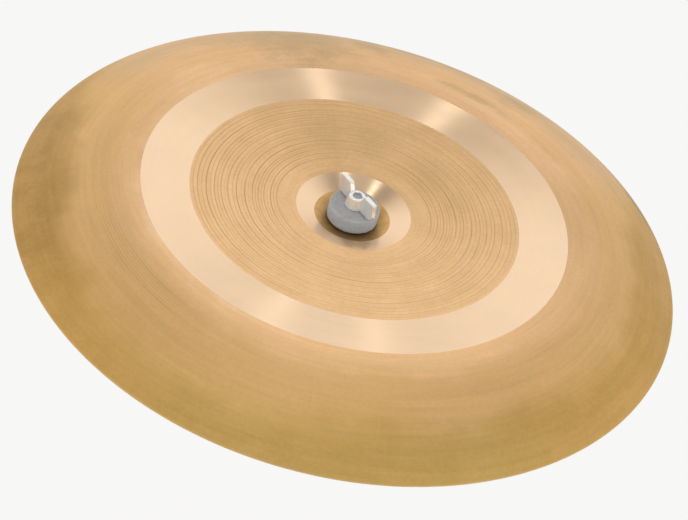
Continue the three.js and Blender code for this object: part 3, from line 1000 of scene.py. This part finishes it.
def make_cup(material):
    """The dished washer under the lower felt, pressed from one sheet."""
    floor, edge = FELT_RADIUS - CUP_WALL_RUN, FELT_RADIUS + CUP_LIP
    top, slope, half = CUP_BOTTOM + CUP_THICKNESS, math.radians(CUP_SLOPE), CUP_THICKNESS / 2
    rise = (edge - floor) * math.tan(slope)
    lip = (edge + half * math.sin(slope), top + rise - half * math.cos(slope))
    inside = (floor - CUP_INSIDE_ROUND * math.tan(slope / 2), top + CUP_INSIDE_ROUND)
    profile = [(WASHER_BORE, CUP_BOTTOM + SMALL_BEVEL), (WASHER_BORE + SMALL_BEVEL, CUP_BOTTOM)]
    profile += arc((floor, top), CUP_THICKNESS, -90, CUP_SLOPE - 90)
    profile += arc(lip, half, CUP_SLOPE - 90, CUP_SLOPE + 90, 10)
    profile += arc(inside, CUP_INSIDE_ROUND, CUP_SLOPE - 90, -90, 5)
    profile += [(WASHER_BORE + SMALL_BEVEL, top), (WASHER_BORE, top - SMALL_BEVEL)]
    finish_piece(turned("cup_washer_dish", profile, FELT_SEGMENTS), material, "cup_washer", "post")


def wing_outline():
    """One wing from the side: reach from the axis and height from the nut's base."""
    line = [(WING_ROOT_REACH, WING_FOOT)]
    line += quadratic((WING_FOOT_REACH, WING_FOOT), (WING_REACH, WING_FOOT), (WING_REACH, WING_WAIST))
    line += quadratic((WING_TOP_REACH, WING_TOP - WING_CORNER), (WING_TOP_REACH, WING_TOP),
                      (WING_TOP_REACH - WING_CORNER, WING_TOP))
    line += quadratic((WING_TOP_INSET + WING_CORNER, WING_TOP), (WING_TOP_INSET, WING_TOP),
                      (WING_TOP_INSET, WING_TOP - WING_CORNER))
    return line + [(HUB_TOP_RADIUS - HUB_ROUND / 2, HUB_HEIGHT), (WING_ROOT_REACH, WING_ROOT_HEIGHT)]


def wing_mesh():
    """An upright plate of the wing's outline in X and Z, with its middle in the plane Y = 0."""
    outline, half = wing_outline(), WING_THICKNESS / 2
    front = list(range(len(outline)))
    back = [i + len(outline) for i in front]
    faces = [front, back[::-1]] + [(front[i], front[i - 1], back[i - 1], back[i]) for i in front]
    mesh = bpy.data.meshes.new("wing")
    mesh.from_pydata([(x * MM, y * MM, z * MM) for y in (-half, half) for x, z in outline], [], faces)
    clean(mesh)
    return mesh


def nut_tap():
    """What the tap takes out of the wing nut: a thread with a small lead-in at each end."""
    foot, top = NUT_BASE, NUT_BASE + HUB_HEIGHT
    bottom, end = foot - TAP_OVERRUN, top + TAP_OVERRUN
    radii, heights = thread_rows(bottom, end, THREAD_PLAY)
    wide = THREAD_CREST + THREAD_PLAY + TAP_FOOT_FLARE
    mouth = follow(heights, (foot, wide), (foot + NUT_MOUTH, THREAD_ROOT),
                   (top - TAP_TOP_DEPTH, THREAD_ROOT), (top, THREAD_ROOT + TAP_TOP_FLARES[0]),
                   (end, THREAD_ROOT + TAP_TOP_FLARES[1]))
    return stacked("tap", level_rows([(0, bottom)]), (np.maximum(radii, mouth), heights),
                   level_rows([(0, end)]))


def make_wing_nut(material):
    """One casting: a cone with two upright wings, its edges soft from the mould, then tapped."""
    hub_line = [(0, 0), (HUB_BASE_RADIUS - HUB_FOOT_BEVEL, 0), (HUB_BASE_RADIUS, HUB_FOOT_BEVEL)]
    hub_line += arc((HUB_TOP_RADIUS - HUB_ROUND, HUB_HEIGHT - HUB_ROUND), HUB_ROUND, 5, 90)
    nut = turned("wing_nut_cast", hub_line + [(0, HUB_HEIGHT)])
    for turn in (0, 180):
        wing = object_of("wing", wing_mesh())
        wing.data.transform(Matrix.Rotation(math.radians(turn), 4, "Z"))
        combine(nut, wing, "UNION")
    turn = Matrix.Rotation(math.radians(WING_AZIMUTH), 4, "Z")
    nut.data.transform(Matrix.Translation(on_axis(NUT_BASE)) @ turn)
    fine = nut.modifiers.new("voxels", "REMESH")
    fine.mode, fine.voxel_size = "VOXEL", CASTING_VOXEL * MM
    soft = nut.modifiers.new("soft", "SMOOTH")
    soft.factor, soft.iterations = 0.5, 5
    settle(nut)
    combine(nut, nut_tap(), "DIFFERENCE")
    smooth(nut.data, CAST_EDGE)
    finish_piece(nut, material, "wing_nut", "nut")


def make_seat_nut(material):
    """A hexagonal nut with a coned flange, its foot turned off all round."""
    corner = HEX_DISTANCE / 2 / math.cos(math.pi / 6)
    foot, top = SEAT_NUT_BOTTOM, SEAT_NUT_TOP
    flange_foot = top - FLANGE_THICKNESS
    prism = [(0, foot), (corner, foot), (corner, flange_foot), (0, flange_foot)]
    rounded = [(0, foot), (corner - HEX_CORNER_RUN, foot), (corner, foot + HEX_CORNER_DROP),
               (corner, top), (0, top)]
    cone = flange_foot - (FLANGE_RADIUS - HEX_DISTANCE / 2) * math.tan(math.radians(FLANGE_SLOPE))
    inner = FLANGE_RADIUS - FLANGE_ROUND
    flange = [(0, cone), (HEX_DISTANCE / 2, cone)]
    flange += arc((inner, flange_foot + FLANGE_ROUND), FLANGE_ROUND, FLANGE_SLOPE - 90, 0, 4)
    flange += arc((inner, top - FLANGE_ROUND), FLANGE_ROUND, 0, 90, 4) + [(0, top)]
    wide = NUT_BORE + NUT_MOUTH
    bore = [(0, foot - NUT_MOUTH), (wide, foot - NUT_MOUTH), (NUT_BORE, foot + NUT_MOUTH / 2),
            (NUT_BORE, top - NUT_MOUTH / 2), (wide, top + NUT_MOUTH), (0, top + NUT_MOUTH)]
    nut = turned("seat_nut_hex", prism, segments=6)
    combine(nut, turned("turned_off", rounded), "INTERSECT")
    combine(nut, turned("flange", flange), "UNION")
    combine(nut, turned("bore", bore), "DIFFERENCE")
    smooth(nut.data, SEAT_NUT_EDGE)
    finish_piece(nut, material, "seat_nut", "post")


# Stage

def make_world():
    """A pale studio: bright round the sides, dark high up and paler overhead. The camera sees off-white."""
    world = bpy.data.worlds.new("studio")
    bpy.context.scene.world = world
    nodes = Nodes(world)
    place = nodes.add("ShaderNodeTexCoord").outputs["Generated"]
    upwards = nodes.add("ShaderNodeSeparateXYZ", {"Vector": place}).outputs["Z"]
    colour = nodes.mix(nodes.ramp(upwards, SKY_WARMTH), rgb(1.0, 0.995, 0.985), rgb(1.0, 0.93, 0.80))
    lit = nodes.add("ShaderNodeBackground", {"Color": colour, "Strength": nodes.ramp(upwards, SKY_LEVEL)})
    shown = nodes.add("ShaderNodeBackground", {"Color": rgb(1.0, 1.0, 1.0), "Strength": BACKGROUND_LEVEL})
    for_camera = nodes.add("ShaderNodeLightPath").outputs["Is Camera Ray"]
    nodes.show(nodes.choice(for_camera, lit, shown), "ShaderNodeOutputWorld")


def floor_material():
    """Plain and pale. Straight views and reflections see it bright, and it shows nothing from below."""
    material = bpy.data.materials.new("pale_floor")
    nodes = Nodes(material)
    dull = nodes.add("ShaderNodeBsdfDiffuse", {"Color": rgb(0.86, 0.86, 0.86)})
    bright = nodes.add("ShaderNodeEmission", {"Color": rgb(1.0, 1.0, 1.0), "Strength": 1.0})
    path = nodes.add("ShaderNodeLightPath").outputs
    seen = nodes.math("MAXIMUM", path["Is Camera Ray"],
                      nodes.math("MAXIMUM", path["Is Glossy Ray"], path["Is Transmission Ray"]))
    above = nodes.choice(nodes.math("MULTIPLY", seen, 0.8), dull, bright)
    from_below = nodes.add("ShaderNodeNewGeometry").outputs["Backfacing"]
    nodes.show(nodes.choice(from_below, above, nodes.add("ShaderNodeBsdfTransparent")))
    return material


def make_floor():
    """A floor well below the part, which shows white with a faint shadow."""
    corners = [(x * FLOOR_HALF, y * FLOOR_HALF, FLOOR_HEIGHT)
               for x, y in ((-1, -1), (1, -1), (1, 1), (-1, 1))]
    mesh = bpy.data.meshes.new("floor")
    mesh.from_pydata(corners, [], [(0, 1, 2, 3)])
    mesh.materials.append(floor_material())
    object_of("floor", mesh)


def make_lamps():
    """Two narrow soft boxes high overhead, side by side, with their far ends turned inwards."""
    for place, turn in LAMPS:
        data = bpy.data.lights.new("soft_box", "AREA")
        data.shape, data.size, data.size_y = "RECTANGLE", LAMP_WIDTH, LAMP_LENGTH
        data.energy = LAMP_POWER
        lamp = object_of("soft_box", data)
        lamp.location, lamp.rotation_euler = place, (0, 0, math.radians(turn))
        lamp.visible_camera = False


def make_camera():
    """The photograph's camera."""
    down, roll = math.radians(CAMERA_DOWN), math.radians(CAMERA_ROLL)
    ahead = Vector((0.0, math.cos(down), -math.sin(down)))
    level = Vector((1.0, 0.0, 0.0))
    right = level * math.cos(roll) + level.cross(ahead) * math.sin(roll)
    data = bpy.data.cameras.new("camera")
    data.sensor_width, data.lens = CAMERA_SENSOR, CAMERA_LENS
    data.shift_x, data.shift_y = CAMERA_SHIFT
    data.clip_start, data.clip_end = CAMERA_CLIP
    camera = object_of("camera", data)
    turn = Matrix((right, right.cross(ahead), -ahead)).transposed().to_4x4()
    camera.matrix_world = Matrix.Translation(Vector(CAMERA_PLACE) * MM) @ turn
    bpy.context.scene.camera = camera


bpy.context.scene.view_settings.view_transform = "Standard"
make_camera()
make_world()
make_floor()
make_lamps()
make_cymbal()
felt = felt_material()
make_upper_felt(felt)
make_lower_felt(felt)
steel = plated("zinc_steel", rgb(0.38, 0.385, 0.41), 0.36, 1.2)
make_post(steel)
make_seat_nut(steel)
make_cup(steel)
make_sleeve(nylon_material())
make_wing_nut(plated("bright_plate", rgb(0.97, 0.97, 0.95), 0.14, 0.6, metallic=0.58))
